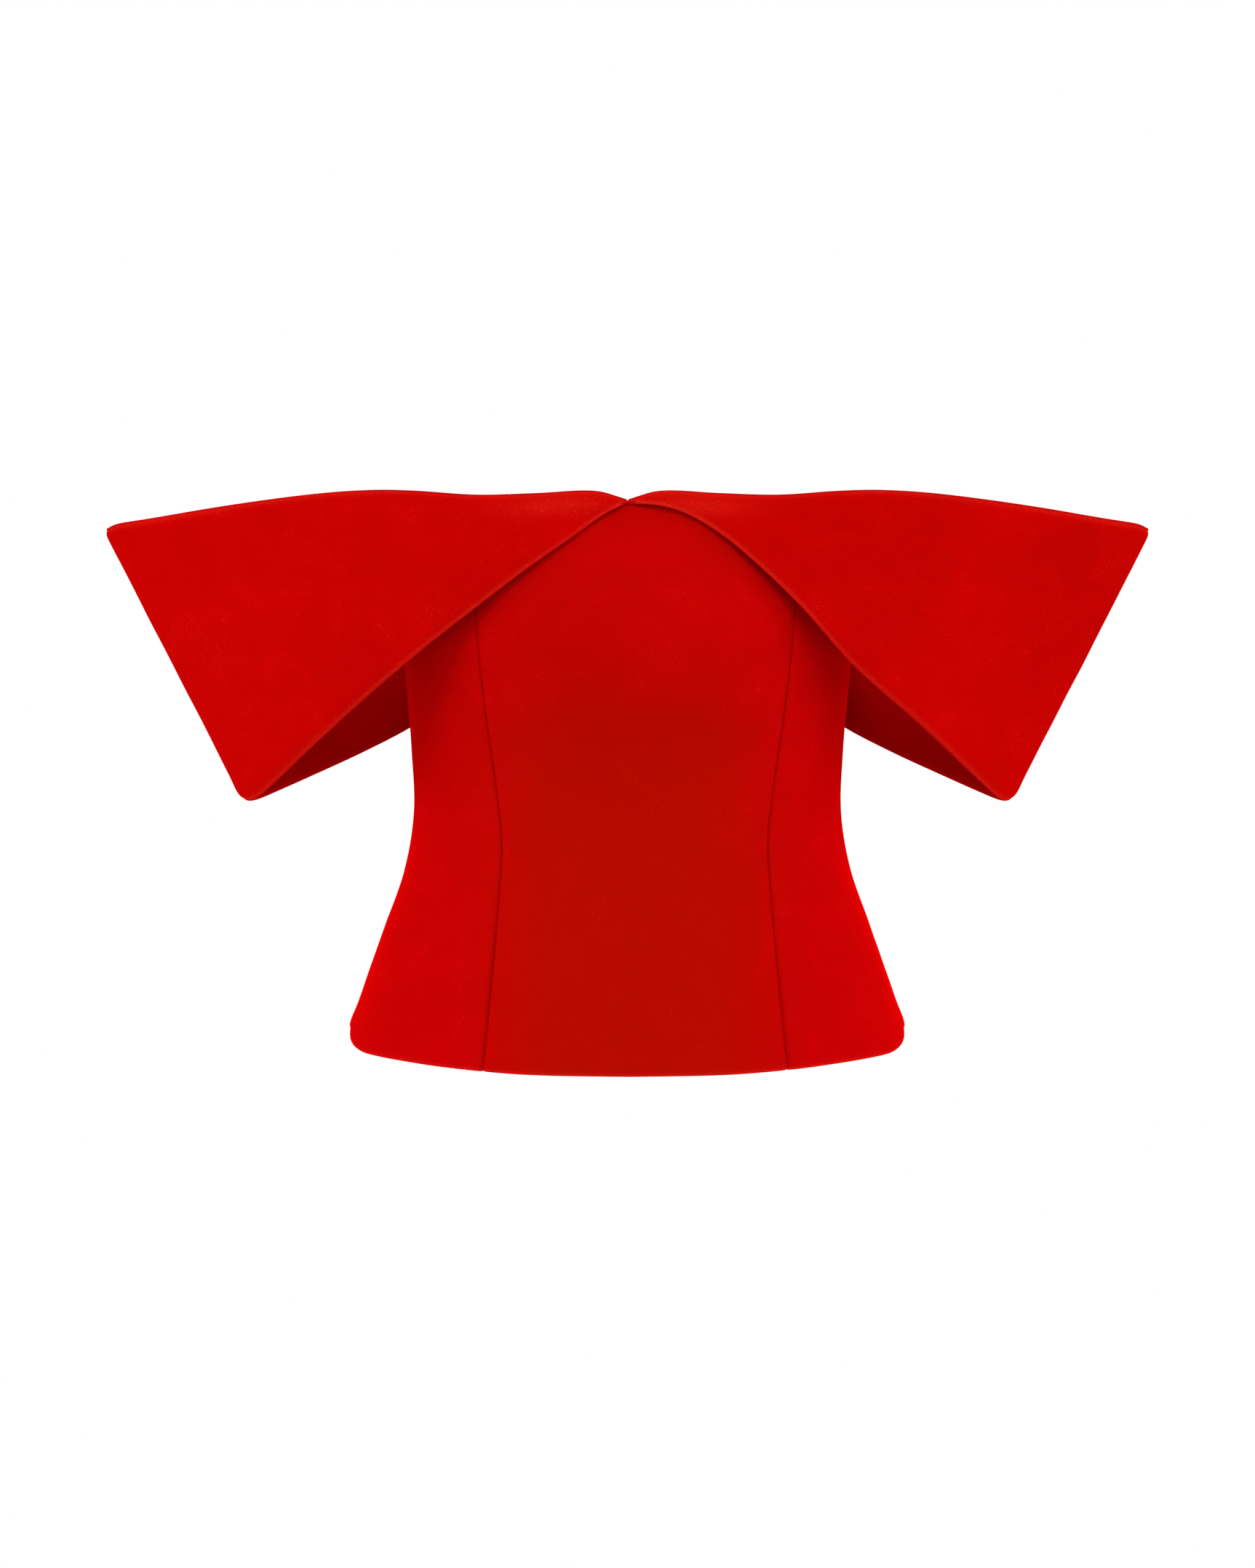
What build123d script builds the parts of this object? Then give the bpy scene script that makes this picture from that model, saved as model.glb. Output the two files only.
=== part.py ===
"""Off-the-shoulder velvet top: a fitted, boned bodice with a flared hem and a wide folded collar whose
front and back halves join at the outer folds and stand over the arms as two pointed wings.

Frame: origin on the torso's axis at the waist, +Z up, +X towards the wearer's left, the front faces -Y.
Millimetres. Left and right are the wearer's.
"""

from build123d import *
import math
import os

import numpy as np

# ---------------------------------------------------------------- driving dimensions
# Torso sections, from hem to neckline: height, half width, front depth, roundness of the section.
TORSO = [
    (-170.0, 184.0, 127.0, 2.15),
    (-135.0, 171.6, 116.5, 2.15),
    (-100.0, 159.2, 106.0, 2.20),
    (-65.0, 146.8, 96.0, 2.20),
    (-30.0, 134.8, 88.5, 2.25),
    (5.0, 129.1, 86.0, 2.30),
    (40.0, 130.3, 92.0, 2.30),
    (75.0, 133.0, 106.5, 2.30),
    (110.0, 135.5, 116.0, 2.35),
    (145.0, 134.5, 108.0, 2.45),
    (180.0, 131.0, 92.0, 2.60),
    (215.0, 127.0, 74.0, 2.60),
]
BUST_Z = 110.0
BACK_WAIST_DEPTH = 84.0  # centre back seam at its innermost point
BACK_WAIST_Z = 25.0
BACK_ARC_R = 600.0  # the centre back seam, and so the zip, is one arc seen from the side

# Layers of the bodice, as depths below its outer surface.
VELVET = 1.5
LAYER_GAP = 0.1
BONE = 1.0
CASING = 0.4
CUP = 2.9
LINING = 0.5
HEM_FACING = 1.0

# Outlines in the front view, right half: (x, z). The hem curves up at the side seams.
HEM = [(0, -148.7), (60, -147.8), (99, -145.2), (125, -142.6), (155, -138.8)]
HEM_CORNER = [(155, -138.8), (163.8, -135.2), (168.6, -127.0)]
FRONT_TOP = [(0, 184.6), (20, 189.6), (54, 188.7), (88, 188.0)]
FRONT_ARMHOLE = [(88, 188.0), (101, 160.0), (116, 130.0), (134, 110.0), (152, 106.0)]
BACK_TOP = [(0, 177.0), (40, 178.0), (88, 179.5)]
BACK_ARMHOLE = [(88, 179.5), (104, 152.0), (119, 127.0), (135, 110.0), (152, 106.0)]
SIDE_SEAM_Y = 8.0
FRONT_SEAM = [(97.0, 215), (94.0, 126), (88.7, 69), (80.4, 8), (78.5, -17), (84.0, -92), (90.5, -165)]
FRONT_SEAM_SHIFT = 4.5  # the centre front panel sits a little to the wearer's left
BACK_SEAM = [(84.0, 205), (81.0, 126), (74.0, 60), (68.0, 15), (70.0, -30), (80.0, -92), (90.0, -165)]
SEAM_GAP = 0.3

# Wide folded collar: outline points of each flap in the front view, for the wearer's left half.
FOLD_TOP = (314.4, 170.3)  # on the outer fold, at the top corner
FOLD_BOTTOM = (233.4, 11.9)  # on the outer fold, at the bottom corner
FLAP_FRONT_TOP = [(0, 188.6), (19, 194.0), (54, 192.7), (89, 192.0), (124, 194.7), (148, 195.5),
                  (176, 194.3), (212, 190.7), (248, 186.2), (284, 181.2), (304, 178.9)]
FLAP_LEFT_EDGE = [(0, 187.4), (22.3, 184.6), (37, 179.2), (54, 168.6), (71.2, 154.4), (99.4, 127.3),
                  (131, 92.2), (173, 56.0), (214.3, 19.4), (222, 12.6)]
FLAP_RIGHT_EDGE = [(0, 187.4), (14.1, 179.8), (33.6, 165.5), (59.6, 146.8), (89, 124.2),
                   (131.3, 91.0), (175.9, 53.0), (214.3, 18.9), (222, 12.6)]
FLAP_BACK_TOP = [(1.5, 181.5), (40, 182.6), (89, 184.0), (120, 187.0), (145, 189.0), (176, 189.4),
                 (212, 187.4), (248, 183.9), (284, 180.3), (304, 178.5)]
FLAP_BACK_EDGE = [(1.5, 176.0), (40, 134.0), (85, 90.0), (131.5, 57.8), (160.5, 41.8), (189.5, 27.7),
                  (224, 11.6)]
TOP_CORNER = [(304, 178.9), (312.2, 176.6), (315.2, 171.6)]
BOTTOM_CORNER = [(234.4, 14.6), (231.0, 10.2), (226.4, 10.2)]
COLLAR_BEND = (1.8, 2.2)  # how squarely a flap rounds the torso: below the bust, and at the neckline
COLLAR_STANDOFF = 0.3  # flap to bodice along the neckline
COLLAR_LIFT = 3.0  # the same over the bust
WING_SPLIT_X = 100.0  # where the wing starts to swing on the sewn part of the collar
WING_PIVOT_Z = 200.0
WING_SPLIT_GAP = 0.4
FLAP_VELVET = 1.5
FLAP_INTERLINING = 0.8
FLAP_CORE = 0.6  # half the air inside the outer fold

# Zip at the centre back.
ZIP_TOP_Z = 172.0
ZIP_BOTTOM_Z = -146.0
ZIP_PLACKET = 5.2  # half the opening between the two velvet edges
COIL_IN = 0.6
COIL_OUT = 2.7
COIL_RISE = 0.9  # the coil lies beside the velvet edges, this far out from their inside face
COIL = 1.4
TAPE_OUT = 15.0
TAPE = 0.5
SLIDER_Z = 160.0
SLIDER_LENGTH = 9.0
SLIDER_HALF_WIDTH = 4.3
SLIDER_CLEARANCE = 0.2
SLIDER_PLATE = 1.0
PULL_LENGTH = 30.0
PULL_HALF_WIDTH = 3.0
PULL_THICKNESS = 1.0
PULL_BAR_R = 0.55
BRIDGE_HALF_WIDTH = 1.1

# Inside the bodice.
BONE_HALF_WIDTH = 3.0
CASING_HALF_WIDTH = 5.0
BONE_LOW_Z = -112.0
BONE_HIGH_Z = 165.0
SIDE_BONE_HIGH_Z = 92.0
ZIP_BONE_X = 21.5
CUP_CENTRE = (66.0, 110.0)
CUP_RADIUS = 50.0
HEM_FACING_HEIGHT = 25.0
LINING_MARGIN = 4.0
STAY_HALF_HEIGHT = 12.0
STAY_Z = 3.0
STAY = 0.6
STAY_END_X = 6.0
GRIPPER = 0.7
GRIPPER_HEIGHT = 8.0
LOOP_LENGTH = 72.0
LOOP_WIDTH = 6.0
LOOP_RIBBON = 0.4
LOOP_GAP = 0.3
LOOP_TOP_Z = 99.0
LOOP_CLEARANCE = 0.9
LOOP_TILT = 4.7  # degrees: the loop lies against the lining, which slopes in towards the waist
WIRE_R = 0.45

# ---------------------------------------------------------------- worked out from them
BONE_IN = VELVET + LAYER_GAP
COIL_DEPTH = VELVET - COIL_RISE
CASING_IN = BONE_IN + BONE + LAYER_GAP
CUP_IN = CASING_IN + CASING + 2 * LAYER_GAP
LINING_IN = CUP_IN + CUP + LAYER_GAP
INSIDE = LINING_IN + LINING  # everything nearer the wearer starts here
FLAP_IN = FLAP_CORE
FACING_OUT = FLAP_CORE + FLAP_VELVET
INTERLINING_IN = FACING_OUT + LAYER_GAP
INTERLINING_OUT = INTERLINING_IN + FLAP_INTERLINING
FLAP_OUT_IN = INTERLINING_OUT + LAYER_GAP
FLAP_OUT = FLAP_OUT_IN + FLAP_VELVET
ARC_Y = BACK_WAIST_DEPTH + BACK_ARC_R
FAR = 260.0  # beyond every outline
SECTION_POINTS = 12
NECK_HEIGHTS = [110.0, 127.5, 145.0, 162.5, 180.0, 197.5, 215.0]  # closer together where the collar hugs
TORSO_HEIGHTS = [row[0] for row in TORSO if row[0] < NECK_HEIGHTS[0]] + NECK_HEIGHTS
COLLAR_HEIGHTS = [-15.0, 15.0, 45.0, 75.0] + NECK_HEIGHTS


def even_steps(count):
    """Spline parameters that are the same in every section, so that the lofts between them stay light."""
    return [i / count for i in range(count + 1)]


def along(table, column, z):
    """A torso measure at height z: a smooth curve through the table's rows."""
    heights = np.array([row[0] for row in table])
    values = np.array([row[column] for row in table])
    slopes = np.gradient(values, heights)
    z = float(np.clip(z, heights[0], heights[-1]))
    i = int(np.clip(np.searchsorted(heights, z) - 1, 0, len(heights) - 2))
    span = heights[i + 1] - heights[i]
    t = (z - heights[i]) / span
    return float(
        values[i] * (1 + 2 * t) * (1 - t) ** 2
        + slopes[i] * span * t * (1 - t) ** 2
        + values[i + 1] * t * t * (3 - 2 * t)
        + slopes[i + 1] * span * t * t * (t - 1)
    )


def half_width(z):
    return along(TORSO, 1, z)


def front_depth(z):
    return along(TORSO, 2, z)


def roundness(z):
    return along(TORSO, 3, z)


def back_depth(z):
    """The centre back seam's arc."""
    return ARC_Y - math.sqrt(BACK_ARC_R**2 - (z - BACK_WAIST_Z) ** 2)


def side_points(z, inset, depth, sign):
    """Half a torso section at height z, set in by inset: from the left side round to the right side."""
    width, power = half_width(z), roundness(z)
    points = []
    for i in range(SECTION_POINTS + 1):
        turn = math.pi * i / SECTION_POINTS
        cos, sin = math.cos(turn), max(math.sin(turn), 0.0)
        x = math.copysign(width * abs(cos) ** (2 / power), cos) if abs(cos) > 1e-9 else 0.0
        y = depth * sin ** (2 / power) if sin > 1e-9 else 0.0
        normal_x = math.copysign((abs(x) / width) ** (power - 1) / width, x)
        normal_y = (y / depth) ** (power - 1) / depth
        size = math.hypot(normal_x, normal_y)
        points.append((x - inset * normal_x / size, sign * (y - inset * normal_y / size), z))
    return points


def torso_section(z, inset):
    """Closed outline of the torso at height z, set in by inset."""
    front = side_points(z, inset, front_depth(z), -1)
    back = side_points(z, inset, back_depth(z), 1)[::-1]
    points = front + back[1:-1]
    return Wire([Edge.make_spline(points, periodic=True, parameters=even_steps(len(points)))])


def shell_between(outer_wires, inner_wires):
    """The solid between two nested stacks of closed outlines at the same heights."""
    lofts = [Solid.make_loft(wires) for wires in (outer_wires, inner_wires)]
    walls = [face for loft in lofts for face in loft.faces() if face.geom_type != GeomType.PLANE]
    ends = []
    for end in (0, -1):
        rims = [loft.faces().filter_by(GeomType.PLANE).sort_by(Axis.Z)[end].outer_wire() for loft in lofts]
        ends.append(Face(rims[0], [rims[1]]))
    return Solid(Shell([*walls, *ends]))


def layer(made, inset_out, inset_in):
    """The shell between two depths below the torso's outer surface."""
    if (inset_out, inset_in) not in made:
        stacks = [[torso_section(z, inset) for z in TORSO_HEIGHTS] for inset in (inset_out, inset_in)]
        made[inset_out, inset_in] = shell_between(*stacks)
    return made[inset_out, inset_in]


def outline(*curves):
    """A face in the XZ plane from curves of (x, z) points: two points make a line, more a spline."""
    edges = []
    for points in curves:
        spots = [(x, 0, z) for x, z in points]
        edges.append(Line(*spots) if len(spots) == 2 else Spline(*spots))
    return Face(Wire(edges))


def through(face, y_low, y_high):
    """A prism through the object along Y."""
    return extrude(Pos(0, y_low, 0) * face, y_high - y_low, dir=(0, 1, 0))


def mirrored(points):
    return [(-x, z) for x, z in points][::-1]


def raised(points, by):
    return [(x, z + by) for x, z in points]


def edge_offset(points, by):
    """Outline points moved down by a margin; used where one layer stops short of another."""
    return [(x, z - by) for x, z in points]


def trim(top, armhole, hem_margin, top_margin, hem_top=None):
    """The body's outline in the front view, its edges drawn in by two margins."""
    hem = raised(HEM, hem_margin)
    corner = raised(HEM_CORNER, hem_margin)
    neck = edge_offset(top, top_margin)
    arm = edge_offset(armhole, top_margin)
    out_low = (FAR, corner[-1][1])
    out_high = (FAR, arm[-1][1])
    right = [hem, corner, [corner[-1], out_low], [out_low, out_high], [out_high, arm[-1]], arm[::-1], neck[::-1]]
    left = [mirrored(curve) for curve in right[::-1]]
    return outline(*right, *left)


def seam_region(left_seam, right_seam):
    """The strip between two seams that run from top to bottom; None is beyond the side."""
    low, high = -FAR, FAR
    left = left_seam or [(-FAR, high), (-FAR, low)]
    right = right_seam or [(FAR, high), (FAR, low)]
    left = [(left[0][0], high)] + left + [(left[-1][0], low)] if left_seam else left
    right = [(right[0][0], high)] + right + [(right[-1][0], low)] if right_seam else right

    def split(points):
        return [points] if len(points) == 2 else [points[:2], points[1:-1], points[-2:]]

    down = split(right)
    up = [curve[::-1] for curve in split(left)[::-1]]
    return outline([left[0], right[0]], *down, [right[-1], left[-1]], *up)


def seam_at(points, side, shift, gap):
    """A seam curve on one side, drawn back by half the seam gap towards gap's sign."""
    return [(side * x + shift + gap * SEAM_GAP / 2, z) for x, z in points]


def front_regions():
    right = seam_at(FRONT_SEAM, -1, FRONT_SEAM_SHIFT, 0)
    left = seam_at(FRONT_SEAM, 1, FRONT_SEAM_SHIFT, 0)

    def moved(points, by):
        return [(x + by * SEAM_GAP / 2, z) for x, z in points]

    return {
        "right_side_front": seam_region(None, moved(right, -1)),
        "centre_front": seam_region(moved(right, 1), moved(left, -1)),
        "left_side_front": seam_region(moved(left, 1), None),
    }


def back_regions(placket):
    regions = {}
    for name, side in (("left", 1), ("right", -1)):
        seam = seam_at(BACK_SEAM, side, 0, 0)
        inner = [(x - side * SEAM_GAP / 2, z) for x, z in seam]
        outer = [(x + side * SEAM_GAP / 2, z) for x, z in seam]
        centre = [(side * placket, FAR / 2), (side * placket, -FAR / 2)]
        pair = (centre, inner) if side > 0 else (inner, centre)
        rest = (outer, None) if side > 0 else (None, outer)
        regions[f"{name}_back"] = seam_region(*pair)
        regions[f"{name}_side_back"] = seam_region(*rest)
    return regions


def bodice_panels(shell, kind, hem_margin, top_margin, placket):
    """Seven panels of one layer: three in front, four behind, with the side seams at SIDE_SEAM_Y."""
    seam = SEAM_GAP / 2
    front = shell & through(trim(FRONT_TOP, FRONT_ARMHOLE, hem_margin, top_margin), -FAR, SIDE_SEAM_Y - seam)
    back = shell & through(trim(BACK_TOP, BACK_ARMHOLE, hem_margin, top_margin), SIDE_SEAM_Y + seam, FAR)
    made = {}
    for name, face in front_regions().items():
        made[f"{name}_{kind}"] = front & through(face, -FAR, FAR)
    for name, face in back_regions(placket).items():
        made[f"{name}_{kind}"] = back & through(face, -FAR, FAR)
    return made


def band_along(points, half_band, low, high):
    """A strip of the front view that follows a seam between two heights."""
    heights = np.linspace(high, low, 7)
    xs = [along([(z, x) for x, z in points[::-1]], 1, height) for height in heights]
    right = [(x + half_band, z) for x, z in zip(xs, heights)]
    left = [(x - half_band, z) for x, z in zip(xs, heights)]
    return outline([left[0], right[0]], right, [right[-1], left[-1]], left[::-1])


def bone_set(shell, half_band, grow):
    """Strips of one layer behind the seams: princess, back princess, side and beside the zip."""
    low, high = BONE_LOW_Z - grow, BONE_HIGH_Z + grow
    side_low, side_high = low, SIDE_BONE_HIGH_Z + grow
    groups = {"princess_seam": [], "back_seam": [], "side_seam": [], "zip_side": []}
    for side in (1, -1):
        seam = seam_at(FRONT_SEAM, side, FRONT_SEAM_SHIFT, 0)
        back_seam = seam_at(BACK_SEAM, side, 0, 0)
        groups["princess_seam"].append(through(band_along(seam, half_band, low, high), -FAR, 0))
        groups["back_seam"].append(through(band_along(back_seam, half_band, low, high), 0, FAR))
        strip = Box(FAR, 2 * half_band, side_high - side_low)
        groups["side_seam"].append(Pos(side * FAR / 2, SIDE_SEAM_Y, (side_low + side_high) / 2) * strip)
        strip = Box(2 * half_band, FAR, high - low)
        groups["zip_side"].append(Pos(side * ZIP_BONE_X, FAR / 2, (low + high) / 2) * strip)
    return {name: [shell & cutter for cutter in cutters] for name, cutters in groups.items()}


def boning(solids):
    bones = bone_set(layer(solids, BONE_IN, BONE_IN + BONE), BONE_HALF_WIDTH, 0)
    made = {f"{name}_bones": Compound([s for part in parts for s in part.solids()]) for name, parts in bones.items()}
    casings = bone_set(layer(solids, CASING_IN, CASING_IN + CASING), CASING_HALF_WIDTH, LINING_MARGIN)
    made["bone_casings"] = Compound([s for parts in casings.values() for part in parts for s in part.solids()])
    return made


def bust_cups(solids):
    shell = layer(solids, CUP_IN, CUP_IN + CUP)
    made = {}
    for name, side in (("left", 1), ("right", -1)):
        disc = Plane(origin=(side * CUP_CENTRE[0], 0, CUP_CENTRE[1]), z_dir=(0, -1, 0)) * Circle(CUP_RADIUS)
        made[f"{name}_bust_cup"] = shell & extrude(disc, FAR)
    return made


def hem_facings(solids):
    """Velvet turned up inside the hem, one strip in front and one each side of the zip."""
    shell = layer(solids, BONE_IN, BONE_IN + HEM_FACING)
    low = raised(HEM, LAYER_GAP)
    corner = raised(HEM_CORNER, LAYER_GAP)
    high = raised(HEM, HEM_FACING_HEIGHT)
    out_low, out_high = (FAR, corner[-1][1]), (FAR, high[-1][1])
    right = [low, corner, [corner[-1], out_low], [out_low, out_high], [out_high, high[-1]], high[::-1]]
    band = outline(*right, *[mirrored(curve) for curve in right[::-1]])
    seam = SEAM_GAP / 2
    back = shell & through(band, SIDE_SEAM_Y + seam, FAR)
    inner = TAPE_OUT + seam
    return {
        "front_hem_facing": shell & through(band, -FAR, SIDE_SEAM_Y - seam),
        "left_back_hem_facing": back & Pos(inner + FAR / 2, 0, 0) * Box(FAR, 2 * FAR, 2 * FAR),
        "right_back_hem_facing": back & Pos(-inner - FAR / 2, 0, 0) * Box(FAR, 2 * FAR, 2 * FAR),
    }


def waist_stay(solids):
    """Grosgrain ribbon round the inside of the waist, open at the zip."""
    shell = layer(solids, INSIDE + 2 * LAYER_GAP, INSIDE + 2 * LAYER_GAP + STAY)
    ring = shell & Pos(0, 0, STAY_Z) * Box(2 * FAR, 2 * FAR, 2 * STAY_HALF_HEIGHT)
    gap = Pos(0, FAR / 2, STAY_Z) * Box(2 * STAY_END_X, FAR, FAR)
    return {"waist_stay": ring - gap}


def gripper_tapes(solids):
    """Silicone-faced tape inside the neckline, in front and each side of the zip behind."""
    shell = layer(solids, INSIDE + 2 * LAYER_GAP, INSIDE + 2 * LAYER_GAP + GRIPPER)
    made = {}
    margin = LINING_MARGIN + 1.5
    for name, top, low_y, high_y in (("front", FRONT_TOP, -FAR, 0), ("back", BACK_TOP, 0, FAR)):
        high = edge_offset(top, margin)
        low = edge_offset(top, margin + GRIPPER_HEIGHT)
        end = [high[-1], low[-1]]
        face = outline(high, end, low[::-1], mirrored(low)[::-1], [(-x, z) for x, z in end][::-1], mirrored(high))
        made[f"{name}_gripper_tape"] = shell & through(face, low_y, high_y)
    gap = Pos(0, FAR / 2, 0) * Box(2 * TAPE_OUT, FAR, 2 * FAR)
    made["back_gripper_tape"] -= gap
    return made


# ---------------------------------------------------------------- the folded collar
def tip_x(z):
    """Centre of the outer fold's rounding at height z."""
    slope = (FOLD_TOP[0] - FOLD_BOTTOM[0]) / (FOLD_TOP[1] - FOLD_BOTTOM[1])
    return FOLD_TOP[0] - (FOLD_TOP[1] - z) * slope - FLAP_OUT


def collar_bend(z):
    low, high = COLLAR_BEND
    return low + (high - low) * min(max((z - 140.0) / 40.0, 0.0), 1.0)


def collar_depth(z, depth):
    """Depth of the collar's core at the centre: over the neckline it hugs the torso, lower down it stands off."""
    level = max(z, BUST_Z)
    rise = (BUST_Z + 70.0 - level) / 70.0
    standoff = COLLAR_STANDOFF + COLLAR_LIFT * min(max(rise, 0.0), 1.0)
    return depth(level) + standoff - FLAP_CORE


def collar_section(z, out):
    """Closed outline of the collar at height z: the core's front and back curves pushed out by out."""
    tip, bend = tip_x(z), collar_bend(z)

    def curve(depth, sign):
        points = []
        for i in range(2 * SECTION_POINTS + 1):
            share = -1 + i / SECTION_POINTS
            x = tip * share
            y = depth * (1 - abs(share) ** bend)
            slope = -depth * bend * abs(share) ** (bend - 1) / tip * (1 if share >= 0 else -1)
            size = math.hypot(1, slope)
            points.append((x - out * slope / size, sign * (y + out / size), z))
        return points

    front = curve(collar_depth(z, front_depth), -1)
    back = curve(collar_depth(z, back_depth), 1)[::-1]
    left_arc = ThreePointArc(front[-1], (tip + out, 0, z), back[0])
    right_arc = ThreePointArc(back[-1], (-tip - out, 0, z), front[0])
    steps = even_steps(2 * SECTION_POINTS)
    curves = [Edge.make_spline(points, parameters=steps) for points in (front, back)]
    return Wire([curves[0], left_arc, curves[1], right_arc])


def collar_layer(out_high, out_low):
    return shell_between(*([collar_section(z, out) for z in COLLAR_HEIGHTS] for out in (out_high, out_low)))


def flap_outline(top, edge):
    """One flap in the front view, on the +X side, open past the outer fold."""
    corner_top = [top[-1]] + TOP_CORNER[1:]
    corner_bottom = BOTTOM_CORNER + [edge[-1]]
    past_top = (FOLD_TOP[0] + 15, corner_top[-1][1])
    past_bottom = (FOLD_BOTTOM[0] + 15, corner_bottom[0][1])
    return outline(
        top, corner_top, [corner_top[-1], past_top], [past_top, past_bottom],
        [past_bottom, corner_bottom[0]], corner_bottom, edge[::-1], [edge[0], top[0]],
    )


def collar_flaps():
    """Each flap in three layers, split into the part sewn to the bodice and the wing that swings."""
    seam = SEAM_GAP / 2
    flaps = {
        ("left", "front"): (flap_outline(FLAP_FRONT_TOP, FLAP_LEFT_EDGE), -FAR, -seam),
        ("right", "front"): (flap_outline(FLAP_FRONT_TOP, FLAP_RIGHT_EDGE), -FAR, -seam),
        ("left", "back"): (flap_outline(FLAP_BACK_TOP, FLAP_BACK_EDGE), seam, FAR),
        ("right", "back"): (flap_outline(FLAP_BACK_TOP, FLAP_BACK_EDGE), seam, FAR),
    }
    layers = {
        "": collar_layer(FLAP_OUT, FLAP_OUT_IN),
        "_interlining": collar_layer(INTERLINING_OUT, INTERLINING_IN),
        "_facing": collar_layer(FACING_OUT, FLAP_IN),
    }
    sewn = Pos((seam + WING_SPLIT_X) / 2, 0, 0) * Box(WING_SPLIT_X - seam, 2 * FAR, 2 * FAR)
    wing_x = WING_SPLIT_X + WING_SPLIT_GAP
    free = Pos(wing_x + FAR / 2, 0, 0) * Box(FAR, 2 * FAR, 2 * FAR)
    made = {}
    for (side, face), (shape, low, high) in flaps.items():
        cutter = through(shape, low, high)
        mirror_it = side == "right"
        parts = {"collar": cutter & sewn, "wing": cutter & free}
        for kind, shell in layers.items():
            for part, region in parts.items():
                region = mirror(region, about=Plane.YZ) if mirror_it else region
                name = f"{side}_{part}_interlining" if kind == "_interlining" else f"{side}_{part}_{face}{kind}"
                made[name] = made.get(name, []) + (shell & region).solids()
    return {name: Compound(solids) for name, solids in made.items()}


# ---------------------------------------------------------------- the zip
def arc_strip(x_low, x_high, depth_out, depth_in, z_low, z_high):
    """A strip that follows the centre back seam, between two depths below its surface."""
    def spot(depth, z):
        turn = math.asin((z - BACK_WAIST_Z) / BACK_ARC_R)
        radius = BACK_ARC_R + depth
        return (x_low, ARC_Y - radius * math.cos(turn), BACK_WAIST_Z + radius * math.sin(turn))

    middle = (z_low + z_high) / 2
    outer = ThreePointArc(spot(depth_out, z_low), spot(depth_out, middle), spot(depth_out, z_high))
    inner = ThreePointArc(spot(depth_in, z_high), spot(depth_in, middle), spot(depth_in, z_low))
    ends = [Line(outer @ 1, inner @ 0), Line(inner @ 1, outer @ 0)]
    face = Face(Wire([outer, ends[0], inner, ends[1]]))
    return extrude(face, x_high - x_low, dir=(1, 0, 0))


def zip_strips():
    made = {}
    tape_depth = COIL_DEPTH + COIL
    for name, side in (("left", 1), ("right", -1)):
        coil = sorted((side * COIL_IN, side * COIL_OUT))
        tape = sorted((side * COIL_IN, side * TAPE_OUT))
        made[f"{name}_zip_coil"] = arc_strip(
            *coil, COIL_DEPTH, tape_depth - LAYER_GAP / 2, ZIP_BOTTOM_Z + 6, ZIP_TOP_Z - 6
        )
        made[f"{name}_zip_tape"] = arc_strip(*tape, tape_depth, tape_depth + TAPE, ZIP_BOTTOM_Z, ZIP_TOP_Z)
    box = arc_strip(-COIL_OUT - 0.6, COIL_OUT + 0.6, COIL_DEPTH - 0.4, tape_depth - LAYER_GAP / 2,
                    ZIP_BOTTOM_Z + 1, ZIP_BOTTOM_Z + 6 - LAYER_GAP)
    made["zip_retaining_box"] = box
    stops = [
        arc_strip(*sorted((side * (COIL_IN + 0.2), side * (COIL_OUT + 0.2))), COIL_DEPTH - 0.2,
                  tape_depth - LAYER_GAP / 2, ZIP_TOP_Z - 6 + LAYER_GAP, ZIP_TOP_Z - 3.5)
        for side in (1, -1)
    ]
    made["zip_top_stops"] = Compound([s for stop in stops for s in stop.solids()])
    return made


def back_plane(z):
    """On the centre back seam at height z: local x across, local y up the zip, local z outwards."""
    turn = math.asin((z - BACK_WAIST_Z) / BACK_ARC_R)
    origin = (0, ARC_Y - BACK_ARC_R * math.cos(turn), BACK_WAIST_Z + BACK_ARC_R * math.sin(turn))
    return Plane(origin=origin, x_dir=(-1, 0, 0), z_dir=(0, math.cos(turn), -math.sin(turn)))


def block(low, high):
    """A box from its two corners."""
    size = [b - a for a, b in zip(low, high)]
    middle = [(a + b) / 2 for a, b in zip(low, high)]
    return Pos(*middle) * Box(*size)


def slider_heights():
    """Heights above the seam's surface: inner plate, coil tunnel, outer plate, bar and bridge."""
    tape_in = -(COIL_DEPTH + COIL + TAPE)
    inner_top = tape_in - SLIDER_CLEARANCE
    outer_low = -COIL_DEPTH + SLIDER_CLEARANCE
    outer_top = outer_low + SLIDER_PLATE
    bar = outer_top + PULL_BAR_R + 0.45
    return inner_top, outer_low, outer_top, bar


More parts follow.
